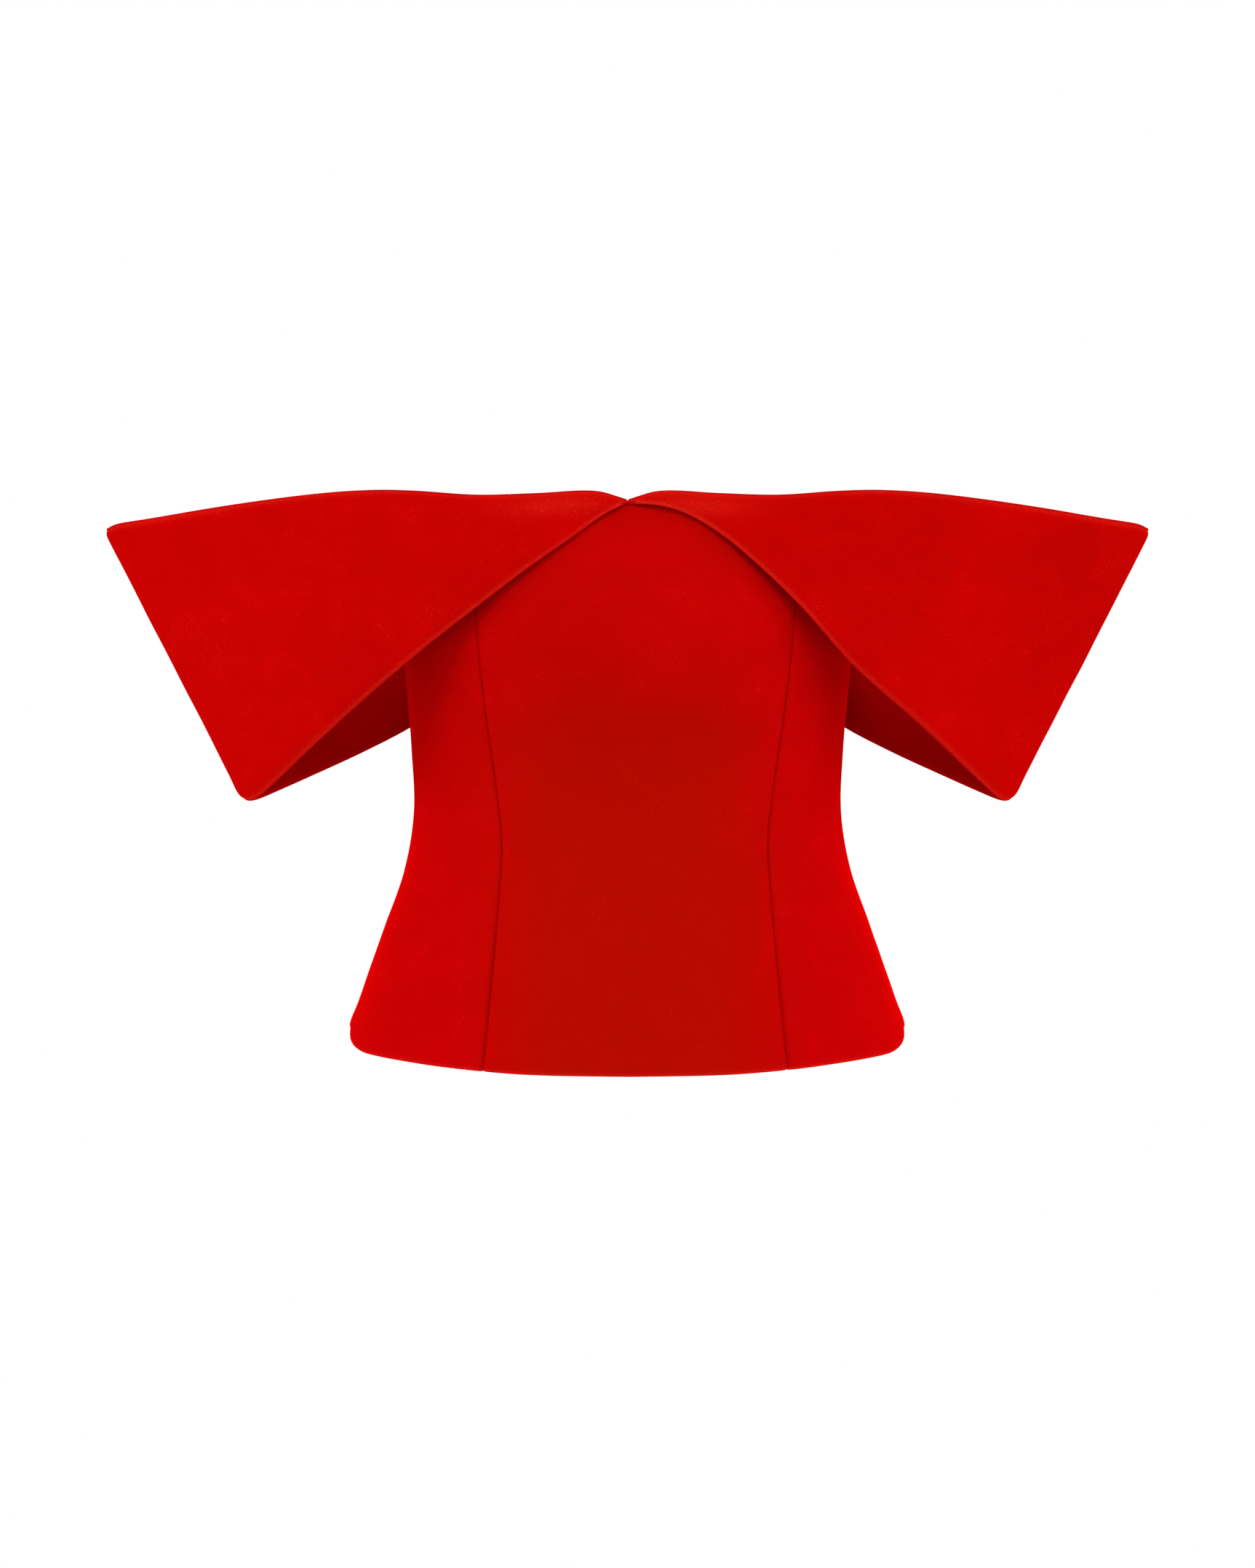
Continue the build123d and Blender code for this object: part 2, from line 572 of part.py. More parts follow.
def zip_slider():
    """Two plates joined by a thin post between the coils, with flanges and a bridge for the pull."""
    inner_top, outer_low, outer_top, bar = slider_heights()
    half, width = SLIDER_LENGTH / 2, SLIDER_HALF_WIDTH
    outer = block((-width, -half, outer_low), (width, half, outer_top))
    outer = fillet(outer.edges().filter_by(Axis.Z), 1.4)
    inner = block((-width, -half, inner_top - SLIDER_PLATE), (width, half, inner_top))
    inner = fillet(inner.edges().filter_by(Axis.Z), 1.4)
    post = block((-COIL_IN + 0.15, half - 3.4, inner_top - 0.2), (COIL_IN - 0.15, half - 0.8, outer_low + 0.2))
    tape_out = -(COIL_DEPTH + COIL) + SLIDER_CLEARANCE
    flange_in = COIL_OUT + 0.5
    flanges = [
        block(
            (min(side * flange_in, side * width), -half + 1.4, tape_out),
            (max(side * flange_in, side * width), half - 1.4, outer_low + 0.2),
        )
        for side in (1, -1)
    ]
    bridge_top = bar + PULL_BAR_R + 0.35 + 0.8
    bridge = block((-BRIDGE_HALF_WIDTH, -3.2, outer_top - 0.2), (BRIDGE_HALF_WIDTH, 3.2, bridge_top))
    bridge = fillet(bridge.edges().filter_by(Axis.X).group_by(Axis.Z)[-1], 1.0)
    tunnel = block((-FAR, -1.9, outer_top), (FAR, 1.9, bridge_top - 0.8))
    shape = outer + inner + post + flanges[0] + flanges[1] + (bridge - tunnel)
    return back_plane(SLIDER_Z) * shape


def zip_pull():
    """A flat tab on a cross bar that turns under the slider's bridge, hanging straight down."""
    bar_height = slider_heights()[3]
    arm_in = BRIDGE_HALF_WIDTH + 0.35
    width, thick = PULL_HALF_WIDTH, PULL_THICKNESS
    bar = Rot(0, 90, 0) * Cylinder(PULL_BAR_R, 2 * (arm_in + 0.2))
    arms = [
        block((min(side * arm_in, side * width), -8.2, -thick / 2), (max(side * arm_in, side * width), 0.6, thick / 2))
        for side in (1, -1)
    ]
    tab = block((-width, -PULL_LENGTH, -thick / 2), (width, -8.0, thick / 2))
    tab = fillet(tab.edges().filter_by(Axis.Z).group_by(Axis.Y)[0], 2.2)
    shape = bar + arms[0] + arms[1] + tab
    pivot = back_plane(SLIDER_Z).from_local_coords((0, 0, bar_height))
    upright = Plane(origin=pivot, x_dir=(-1, 0, 0), z_dir=(0, 1, 0))
    return upright * shape


# ---------------------------------------------------------------- hooks and loops
def wire(*points, bends):
    """A round wire along points with bends."""
    path = FilletPolyline(*points, radius=bends)
    start = path % 0
    profile = Plane(origin=path @ 0, z_dir=start) * Circle(WIRE_R)
    return sweep(profile, path=path)


def hook_and_eye(z, depth):
    """A wire hook and the eye it holds, across the zip opening, with the eye on the wearer's left."""
    place = back_plane(z)
    eye = wire((-9.0, 1.9, 0), (1.9, 1.9, 0), (1.9, -1.9, 0), (-9.0, -1.9, 0), bends=1.6)
    hook = wire((9.0, 0, 1.15), (-0.6, 0, 1.15), (-0.6, 0, -1.15), (4.6, 0, -1.15), bends=1.1)
    return [place * Pos(0, 0, -depth) * shape for shape in (hook, eye)]


def fasteners():
    """Hook and eye pairs at the neckline and on the waist stay."""
    neck_depth = VELVET + WIRE_R + 1.35
    stay_depth = INSIDE + 2 * LAYER_GAP + STAY + WIRE_R + 1.35
    neck = hook_and_eye(ZIP_TOP_Z + 2.6, neck_depth)
    stay = hook_and_eye(STAY_Z, stay_depth)
    return {"neck_hook_and_eye": Compound(neck), "waist_hook_and_eye": Compound(stay)}


def hanger_loops():
    """A folded ribbon inside each underarm, lying against the lining."""
    outer_half = LOOP_RIBBON + LOOP_GAP / 2
    straight = LOOP_LENGTH - 2 * outer_half
    slot = SlotCenterToCenter(straight, 2 * outer_half) - SlotCenterToCenter(straight, LOOP_GAP)
    ribbon = extrude(Plane.XZ * Rot(0, 0, 90) * slot, LOOP_WIDTH / 2, both=True)
    ribbon = Pos(0, 0, -straight / 2) * ribbon
    pivot_x = half_width(LOOP_TOP_Z) - INSIDE - outer_half - LOOP_CLEARANCE
    left = Pos(pivot_x, SIDE_SEAM_Y, LOOP_TOP_Z) * Rot(0, LOOP_TILT, 0) * ribbon
    return {"left_hanger_loop": left, "right_hanger_loop": mirror(left, about=Plane.YZ)}


def build():
    torso = {}
    parts = {}
    parts |= bodice_panels(layer(torso, 0, VELVET), "panel", 0, 0, ZIP_PLACKET)
    parts |= bodice_panels(layer(torso, LINING_IN, INSIDE), "lining", LINING_MARGIN, LINING_MARGIN, 7.0)
    parts |= hem_facings(torso)
    parts |= boning(torso)
    parts |= bust_cups(torso)
    parts |= waist_stay(torso)
    parts |= gripper_tapes(torso)
    parts |= collar_flaps()
    parts |= zip_strips()
    parts["zip_slider"] = zip_slider()
    parts["zip_pull"] = zip_pull()
    parts |= fasteners()
    parts |= hanger_loops()
    return parts


os.makedirs("parts", exist_ok=True)
for node, shape in build().items():
    solids = shape.solids()
    export_step(solids[0] if len(solids) == 1 else Compound(children=list(solids)), f"parts/{node}.step")
    print(node, len(solids), [round(v, 1) for v in shape.bounding_box().size])
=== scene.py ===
import math

import bmesh
import bpy
from mathutils import Matrix, Vector
from mathutils.noise import noise


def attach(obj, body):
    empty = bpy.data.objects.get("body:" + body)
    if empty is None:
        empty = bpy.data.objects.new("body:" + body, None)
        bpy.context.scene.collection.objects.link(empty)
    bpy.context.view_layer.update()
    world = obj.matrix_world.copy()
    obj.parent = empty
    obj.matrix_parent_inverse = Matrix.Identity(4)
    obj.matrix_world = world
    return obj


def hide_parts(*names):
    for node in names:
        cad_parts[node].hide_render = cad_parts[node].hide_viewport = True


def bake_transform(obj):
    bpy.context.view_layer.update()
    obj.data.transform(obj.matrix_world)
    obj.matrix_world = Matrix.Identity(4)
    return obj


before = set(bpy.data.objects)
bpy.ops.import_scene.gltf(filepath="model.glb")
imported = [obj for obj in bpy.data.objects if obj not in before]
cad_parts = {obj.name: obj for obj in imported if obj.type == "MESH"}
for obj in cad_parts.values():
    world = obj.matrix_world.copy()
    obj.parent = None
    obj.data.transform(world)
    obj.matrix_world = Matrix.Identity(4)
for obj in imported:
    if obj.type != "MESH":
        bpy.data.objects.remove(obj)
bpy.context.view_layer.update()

MM = 0.001
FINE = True
SIDES = (1, -1)  # the wearer's left, at positive x, and right

# ---------------------------------------------------------------- the garment's cut, in millimetres
# Torso sections from hem to neckline: height, half width, front depth, roundness.
TORSO = [
    (-170.0, 184.0, 127.0, 2.15), (-135.0, 171.6, 116.5, 2.15), (-100.0, 159.2, 106.0, 2.20),
    (-65.0, 146.8, 96.0, 2.20), (-30.0, 134.8, 88.5, 2.25), (5.0, 129.1, 86.0, 2.30),
    (40.0, 130.3, 92.0, 2.30), (75.0, 133.0, 106.5, 2.30), (110.0, 135.5, 116.0, 2.35),
    (145.0, 134.5, 108.0, 2.45), (180.0, 131.0, 92.0, 2.60), (215.0, 127.0, 74.0, 2.60),
]
BACK_ARC_R, BACK_ARC_Y, BACK_ARC_Z = 600.0, 684.0, 25.0  # the arc of the centre back seam
# Outlines in the front view, as (x, height); seams as (height, x).
HEM = [(0, -148.7), (60, -147.8), (99, -145.2), (125, -142.6), (155, -138.8), (160.5, -137.1),
       (164.6, -134.2), (167.5, -130.2), (169.0, -125.0)]
FRONT_NECK = [(0, 187.8), (10, 188.6), (20, 189.6), (54, 188.7), (88, 188.0), (101, 160.0),
              (116, 130.0), (134, 110.0), (152, 106.0)]
BACK_NECK = [(0, 177.0), (40, 178.0), (88, 179.5), (104, 152.0), (119, 127.0), (135, 110.0),
             (152, 106.0)]
SIDE_Y = 8.0  # how far behind the middle the side seam runs
FRONT_SEAM = [(-165, 90.5), (-92, 84.0), (-17, 78.5), (8, 80.4), (69, 88.7), (126, 94.0),
              (215, 97.0)]
FRONT_SHIFT = 4.5  # both front seams lie this far towards the wearer's left
BACK_SEAM = [(-165, 90.0), (-92, 80.0), (-30, 70.0), (15, 68.0), (60, 74.0), (126, 81.0),
             (205, 84.0)]
PLACKET = 5.2  # the back panels' edges at the zip, from the centre
# Heights at which the search for a crossing with an outline starts.
HEM_START, NECK_START, BAND_START = -140.0, 150.0, 170.0

# The collar: each flap's top and lower outline in the front view, for one half.
FOLD_TOP, FOLD_BOTTOM = (314.4, 170.3), (233.4, 11.9)
FLAP_OUT = 4.6  # the outer velvet's face, out from the flap's core
FRONT_TOP = [(0, 188.6), (19, 194.0), (54, 192.7), (89, 192.0), (124, 194.7), (148, 195.5),
             (176, 194.3), (212, 190.7), (248, 186.2), (284, 181.2), (304, 178.9)]
BACK_TOP = [(1.5, 181.5), (40, 182.6), (89, 184.0), (120, 187.0), (145, 189.0), (176, 189.4),
            (212, 187.4), (248, 183.9), (284, 180.3), (304, 178.5)]
EDGE_LEFT = [(0, 187.4), (22.3, 184.6), (37, 179.2), (54, 168.6), (71.2, 154.4), (99.4, 127.3),
             (131, 92.2), (173, 56.0), (214.3, 19.4), (222, 12.9), (229, 9.9)]
EDGE_RIGHT = [(0, 187.4), (14.1, 179.8), (33.6, 165.5), (59.6, 146.8), (89, 124.2), (131.3, 91.0),
              (175.9, 53.0), (214.3, 18.9), (222, 12.7), (229, 9.9)]
EDGE_BACK = [(1.5, 176.0), (40, 134.0), (85, 90.0), (131.5, 57.8), (160.5, 41.8), (189.5, 27.7),
             (222, 12.4), (229, 9.9)]


# A curve has a corner where it is this much steeper on one side of a point than on the other.
CORNER_RATIO, CORNER_RISE = 8, 0.2


def sided(side, name):
    return f"{'left' if side > 0 else 'right'}_{name}"


def ramp(value, start, full):
    """0 at start, 1 at full, even between them and level beyond."""
    return min(max((value - start) / (full - start), 0.0), 1.0)


def curve(points, at):
    """A smooth curve through (x, y) points, read at x."""
    if at <= points[0][0]:
        return points[0][1]
    if at >= points[-1][0]:
        return points[-1][1]
    i = max(k for k in range(len(points) - 1) if points[k][0] <= at)

    def rise(a, b):
        return (b[1] - a[1]) / (b[0] - a[0])

    def slope(k):
        before, after = points[max(k - 1, 0)], points[min(k + 1, len(points) - 1)]
        if before == points[k] or after == points[k]:
            return rise(before, after)
        a, b = rise(before, points[k]), rise(points[k], after)
        low, high = sorted((abs(a), abs(b)))
        if high > CORNER_RATIO * low + CORNER_RISE:  # not to be rounded past its neighbours
            return 2 * a * b / (a + b) if a * b > 0 else 0.0
        return rise(before, after)

    (x0, y0), (x1, y1) = points[i], points[i + 1]
    span = x1 - x0
    t = (at - x0) / span
    return (y0 * (1 + 2 * t) * (1 - t) ** 2 + slope(i) * span * t * (1 - t) ** 2
            + y1 * t * t * (3 - 2 * t) + slope(i + 1) * span * t * t * (t - 1))


def column(index):
    return [(row[0], row[index]) for row in TORSO]


def tabled(value, low=-176.0, high=216.0, step=0.5):
    """The same function of height, read from a table: the sheets ask for it millions of times."""
    table = [value(low + i * step) for i in range(int((high - low) / step) + 2)]

    def read(z):
        place = min(max((z - low) / step, 0.0), len(table) - 1.001)
        i = int(place)
        return table[i] + (table[i + 1] - table[i]) * (place - i)
    return read


half_width = tabled(lambda z: curve(column(1), z))
front_depth = tabled(lambda z: curve(column(2), z))
roundness = tabled(lambda z: curve(column(3), z))
back_depth = tabled(lambda z: BACK_ARC_Y - math.sqrt(BACK_ARC_R ** 2 - (z - BACK_ARC_Z) ** 2))


def turn_of(x, z, behind):
    """The angle from centre front, round the torso, at which a seam x from the centre runs."""
    turn = math.asin(min((abs(x) / half_width(z)) ** (roundness(z) / 2), 1.0))
    return math.pi - turn if behind else turn


side_turn = tabled(
    lambda z: math.pi / 2 + math.asin((SIDE_Y / back_depth(z)) ** (roundness(z) / 2))
)
left_front_turn = tabled(lambda z: turn_of(curve(FRONT_SEAM, z) + FRONT_SHIFT, z, False))
right_front_turn = tabled(lambda z: turn_of(curve(FRONT_SEAM, z) - FRONT_SHIFT, z, False))
back_turn = tabled(lambda z: turn_of(curve(BACK_SEAM, z), z, True))
placket_turn = tabled(lambda z: turn_of(PLACKET, z, True))


def round_torso(turn, z, out):
    """A point at an angle from centre front, left positive, out from the torso's surface."""
    width, power = half_width(z), roundness(z)
    behind = abs(turn) > math.pi / 2
    depth = back_depth(z) if behind else front_depth(z)
    sin, cos = abs(math.sin(turn)), abs(math.cos(turn))
    x, y = width * sin ** (2 / power), depth * cos ** (2 / power)
    nx, ny = (x / width) ** (power - 1) / width, (y / depth) ** (power - 1) / depth
    size = math.hypot(nx, ny)
    x, y = x + out * nx / size, y + out * ny / size
    return Vector((x if turn >= 0 else -x, y if behind else -y, z)) * MM


def bump_at(distance, reach):
    """1 at the edge, falling to nothing a few reaches away."""
    return math.exp(-((distance / reach) ** 2))


def drape(x, z, size, seed):
    """Soft unevenness of hanging cloth, -1 to 1."""
    return noise(Vector((x / size, z / size, seed)))


def cut_of(place, steps=24):
    """A sheet's flat cut, measured along its surface: the rectangle round it, and its area."""
    grid = [[place(i / steps, j / steps)[0] for i in range(steps + 1)] for j in range(steps + 1)]
    width = max(sum((a - b).length for a, b in zip(row, row[1:])) for row in grid)
    length = max(sum((a - b).length for a, b in zip(row, row[1:])) for row in zip(*grid))

    def triangle(a, b, c):
        return (b - a).cross(c - a).length / 2

    area = sum(
        triangle(grid[j][i], grid[j][i + 1], grid[j + 1][i])
        + triangle(grid[j + 1][i + 1], grid[j][i + 1], grid[j + 1][i])
        for i in range(steps) for j in range(steps)
    )
    return (width, length), min(area, width * length)


def new_piece(name, bm):
    """A smooth-shaded object in the scene, from a bmesh that it uses up."""
    mesh = bpy.data.meshes.new(name)
    bm.to_mesh(mesh)
    bm.free()
    mesh.shade_smooth()
    piece = bpy.data.objects.new(name, mesh)
    bpy.context.collection.objects.link(piece)
    return piece


def cloth(name, across, along, place, thickness, subdivide=1, spread=0.0):
    """A grid of cloth: place(s, t) gives its outer face, and how strongly the painted seam shade and the
    painted edge highlight fall on it.
    spread draws the grid's lines together at its edges."""
    bm = bmesh.new()
    bmesh.ops.create_grid(bm, x_segments=across, y_segments=along, size=0.5)

    def even(v):
        v = min(max(v + 0.5, 0.0), 1.0)
        return v * (1 - spread) + spread * (0.5 - 0.5 * math.cos(math.pi * v))

    seam, rim = (bm.verts.layers.float.new(key) for key in ("seam", "rim"))
    for vert in bm.verts:
        vert.co, vert[seam], vert[rim] = place(even(vert.co.x), even(vert.co.y))
    piece = new_piece(name, bm)
    cut_of(place)
    wall = piece.modifiers.new("thickness", "SOLIDIFY")
    wall.thickness = thickness * MM
    wall.offset = -1
    if subdivide:
        smooth = piece.modifiers.new("smooth", "SUBSURF")
        smooth.levels = smooth.render_levels = subdivide
    return piece


def settle(edge, x_at, z, rounds=5):
    """The height where an outline crosses a line whose x depends a little on height."""
    for _ in range(rounds):
        z = curve(edge, x_at(z))
    return z


# How far the painted shade beside a seam and the painted highlight along the hem reach.
SEAM_REACH, RIM_REACH = 0.9, 1.5


def torso_sheet(name, turns, limits, out, thickness, size, shape, spread=0.45, seams=True):
    """One sheet round the torso. turns gives its side edges' angles at a height; limits gives the
    heights of its lower and upper edge, from how x depends on height there; shape moves it out."""
    def place(s, t):
        def turn(z):
            a, b = turns(z)
            return a + (b - a) * s

        def x_at(z):
            return abs(round_torso(turn(z), z, 0).x / MM)

        low, high = limits(x_at)
        z = low + (high - low) * t
        a, b = turns(z)
        depth = front_depth(z) + half_width(z)
        gap = [abs(b - a) * part * depth / 2 for part in (s, 1 - s)]
        side = 1 if turn(z) >= 0 else -1
        shift = shape(*gap, z - low, high - z, side * x_at(z), z)
        # The seam value is painted shade beside the seams; the last value is painted highlight along the
        # hem.
        seam = bump_at(min(gap), SEAM_REACH) if seams else 0.0
        return round_torso(turn(z), z, out + shift), seam, bump_at(z - low, RIM_REACH)

    return cloth(name, *size, place, thickness, spread=spread)


def panel_limits(neck, low_margin=0.0, high_margin=0.0):
    def limits(x_at):
        low, high = settle(HEM, x_at, HEM_START), settle(neck, x_at, NECK_START)
        return low + low_margin, high - high_margin
    return limits


def flare(seed):
    """Velvet panel: drawn in at its seams with a soft roll beside them, and never quite even."""
    def shape(gap_a, gap_b, from_hem, from_neck, x, z):
        seam = min(gap_a, gap_b)
        dip = 0.75 * bump_at(seam, 1.5)
        roll = 0.30 * bump_at(seam - 4.5, 3.0)
        pucker = 0.18 * math.sin(z / 2.6 + 2.0 * drape(x, z, 30, seed)) * bump_at(seam, 6)
        uneven = 0.5 * drape(x, z, 55, seed) + 0.12 * drape(x, z, 14, seed)
        hem_roll = 0.5 * bump_at(from_hem - 6, 5) - 0.5 * bump_at(from_hem, 1.2)
        hem_wave = 0.35 * drape(x, 0, 16, seed + 3) * bump_at(from_hem, 9)
        return -dip + roll + pucker + uneven + hem_roll + hem_wave
    return shape


def lining_shape(seed):
    """Lining: loose, with fine creases, turned out to the velvet at the neckline and hem."""
    def shape(gap_a, gap_b, from_hem, from_neck, x, z):
        turned_out = 4.4 * bump_at(from_neck, 1.3) + 3.3 * bump_at(from_hem, 3.0)
        seam = 0.5 * bump_at(min(gap_a, gap_b), 1.2)
        return turned_out + seam - 0.15 * abs(drape(x * 1.6, z * 0.5, 24, seed))
    return shape


# ---------------------------------------------------------------- the folded collar
FOLD_SHARE = 0.03  # how much of the grid's width, on either side of the fold, goes round it
FRONT_START, BACK_START = 0.15, 1.5  # the two halves start this far from the centre
CENTRE_INSET = 7  # a layer that is cut back below starts this many times as far from the centre
LOW_CORNER, HIGH_CORNER = 2.6, 3.2  # radii of the corners at the fold


def fold_x(z):
    """Where the core of the flaps turns back, so that the velvet round it ends on the fold line."""
    slope = (FOLD_TOP[0] - FOLD_BOTTOM[0]) / (FOLD_TOP[1] - FOLD_BOTTOM[1])
    return FOLD_TOP[0] - (FOLD_TOP[1] - z) * slope - FLAP_OUT


def flap_core(z, behind):
    """How far out a flap stands at the centre, and how its core curves to the fold."""
    bend = 1.8 + 0.4 * ramp(z, 140.0, 180.0)
    level = max(z, 110.0)
    stand = 3.0 * ramp(level, 180.0, 110.0) - 0.3
    return (back_depth(level) if behind else front_depth(level)) + stand, bend


def fold_point(z, out, turn):
    """Round the outer fold: turn is -1 where the front flap ends and 1 where the back flap ends."""
    depth, bend = flap_core(z, turn > 0)
    lean = math.atan2(1, depth * bend / fold_x(z))
    angle = turn * lean
    return fold_x(z) + out * math.cos(angle), out * math.sin(angle)


def flap_point(x, z, behind, out):
    """On a flap's core surface at x, z, then out from it."""
    depth, bend = flap_core(z, behind)
    tip = fold_x(z)
    share = min(max(x / tip, 0.0), 1.0)
    y = depth * (1 - share ** bend)
    slope = depth * bend * share ** (bend - 1) / tip
    size = math.hypot(1, slope)
    return x + out * slope / size, (1 if behind else -1) * (y + out / size)


def corner_cut(before_end, radius):
    """How much a rounded corner takes off an edge, this far before the edge's end."""
    return radius * (1 - math.sqrt(1 - max(1 - before_end / radius, 0.0) ** 2))


def collar_place(side, out, shape, low_margin=0.0, high_margin=0.0):
    """Places a grid from centre front, round the outer fold, to centre back; s = 0.5 is the fold."""
    low_end, high_end = fold_x(FOLD_BOTTOM[1]), fold_x(FOLD_TOP[1])
    front_edge = EDGE_LEFT if side > 0 else EDGE_RIGHT

    def place(s, t):
        behind = s > 0.5
        beyond = min((0.5 - abs(s - 0.5)) / (0.5 - FOLD_SHARE), 1.0)
        top, edge = (BACK_TOP, EDGE_BACK) if behind else (FRONT_TOP, front_edge)
        start = (BACK_START if behind else FRONT_START) + CENTRE_INSET * low_margin
        x_low, x_high = start + (low_end - start) * beyond, start + (high_end - start) * beyond
        low = curve(edge, min(x_low, edge[-1][0])) + low_margin
        high = curve(top, min(x_high, top[-1][0])) - high_margin
        low += corner_cut(low_end - x_low, LOW_CORNER)
        high -= corner_cut(high_end - x_high, HIGH_CORNER)
        x, z = x_low + (x_high - x_low) * t, low + (high - low) * t
        stand = out + shape(z - low, high - z, x, z, behind)
        if abs(s - 0.5) < FOLD_SHARE:
            px, py = fold_point(z, stand, (s - 0.5) / FOLD_SHARE)
        else:
            px, py = flap_point(x, z, behind, stand)
        # Painted highlight along the lower and top edges, and on the swell below the neckline at the
        # front.
        rim = bump_at(z - low, 1.4) + 0.7 * bump_at(high - z, 2.2)
        if not behind:
            rim += 0.45 * bump_at(high - z - 8, 6) * bump_at(x - 42, 30)
        return Vector((side * px, py, z)) * MM, 0.0, min(rim, 1.0)

    return place


def collar_sheet(name, side, out, thickness, shape, material, nodes, margins=(0.0, 0.0)):
    """One layer of one half of the collar, the wing beyond the shoulder included."""
    across, along = (120, 44) if FINE else (80, 24)
    piece = cloth(name, across, along, collar_place(side, out, shape, *margins), thickness, spread=0.5)
    if side < 0:
        flip(piece)
    piece.data.materials.append(material)
    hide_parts(*nodes)
    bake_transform(piece)
    return piece


def flip(piece):
    """Turns a mirrored sheet's faces outwards again."""
    bm = bmesh.new()
    bm.from_mesh(piece.data)
    bmesh.ops.reverse_faces(bm, faces=bm.faces)
    bm.to_mesh(piece.data)
    bm.free()


def velvet_flap(seed):
    """Outer velvet of a flap: its lower edge turns under, its top rolls over, most at the neck,
    and the cloth is slightly uneven."""
    def shape(from_low, from_high, x, z, behind):
        neck = 1 - ramp(x, 20, 130)
        roll = 2.2 * (0.4 + 0.6 * neck)
        turned = -1.7 * bump_at(from_low, 1.5) - 2.6 * bump_at(from_high, 1.1 + roll)
        swell = 1.4 * neck * bump_at(from_high - 9, 7)
        uneven = 0.9 * drape(x, z, 70, seed + behind) + 0.25 * drape(x, z, 22, seed + behind)
        edge = 0.25 * bump_at(from_low - 6, 4) + 0.3 * drape(x, z, 9, seed) * bump_at(from_low, 3)
        return turned + swell + uneven + edge
    return shape


def facing_flap(seed):
    """Facing of a flap: turned out to the velvet at both edges."""
    def shape(from_low, from_high, x, z, behind):
        turned = 1.2 * bump_at(from_low, 1.6) + 1.0 * bump_at(from_high, 1.6)
        return turned + 0.15 * drape(x, z, 30, seed)
    return shape


def flat_flap(from_low, from_high, x, z, behind):
    """The stiff canvas lies flat between them."""
    return 0.0


# ---------------------------------------------------------------- materials
class Field:
    """A value that changes over a surface; arithmetic on it adds Math nodes."""

    def __init__(self, finish, socket):
        self.finish, self.socket = finish, socket

    def math(self, operation, *values, clamp=False):
        settings = {"operation": operation, "use_clamp": clamp}
        return self.finish.node("ShaderNodeMath", settings, *values)

    def __add__(self, other):
        return self.math("ADD", self, other)

    def __sub__(self, other):
        return self.math("SUBTRACT", self, other)

    def __rsub__(self, other):
        return self.math("SUBTRACT", other, self)

    def __mul__(self, other):
        return self.math("MULTIPLY", self, other)

    __radd__, __rmul__ = __add__, __mul__

    def clamped(self):
        return self.math("ADD", self, 0.0, clamp=True)

    def above(self, start, full):
        """0 below start, 1 above full, smooth between."""
        settings = {"interpolation_type": "SMOOTHSTEP"}
        return self.finish.node("ShaderNodeMapRange", settings, self, start, full, 0.0, 1.0)


class Finish:
    """A Principled material; constants go on the shader's own sockets."""

    def __init__(self, name, **constants):
        self.material = bpy.data.materials.new(name)
        self.material.use_nodes = True
        self.tree = self.material.node_tree
        self.shader = self.tree.nodes["Principled BSDF"]
        for key, value in constants.items():
            self.shader.inputs[key.replace("_", " ")].default_value = value
        self.place = self.node("ShaderNodeTexCoord", {}, output="Object")

    def node(self, kind, settings, *values, output=0, **named):
        made = self.tree.nodes.new(kind)
        for key, value in settings.items():
            setattr(made, key, value)
        sockets = {**dict(enumerate(values)), **{k.replace("_", " "): v for k, v in named.items()}}
        for key, value in sockets.items():
            if isinstance(value, Field):
                self.tree.links.new(value.socket, made.inputs[key])
            else:
                made.inputs[key].default_value = value
        return Field(self, made.outputs[output])

    def noise(self, scale, detail=2.0, roughness=0.5, distortion=0.0, place=None):
        return self.node("ShaderNodeTexNoise", {}, Vector=place or self.place, Scale=scale,
                         Detail=detail, Roughness=roughness, Distortion=distortion)

    def mark(self, name):
        return self.node("ShaderNodeAttribute", {"attribute_name": name}, output="Fac")

    def stretched(self, x, y, z):
        return self.node("ShaderNodeMapping", {}, Vector=self.place, Scale=(x, y, z))

    def blend_colours(self, factor, a, b):
        made = self.tree.nodes.new("ShaderNodeMix")
        made.data_type = "RGBA"
        for index, value in ((0, factor), (6, a), (7, b)):
            if isinstance(value, Field):
                self.tree.links.new(value.socket, made.inputs[index])
            else:
                made.inputs[index].default_value = value if index == 0 else (*value, 1.0)
        return Field(self, made.outputs[2])

    def wave(self, along, scale, distortion=0.0):
        return self.node("ShaderNodeTexWave", {"bands_direction": along}, Vector=self.place,
                         Scale=scale, Distortion=distortion)

    def relief(self, height, distance, strength):
        return self.node("ShaderNodeBump", {}, Strength=strength, Distance=distance, Height=height)

    def feed(self, **fields):
        for key, field in fields.items():
            self.tree.links.new(field.socket, self.shader.inputs[key.replace("_", " ")])
        return self.material


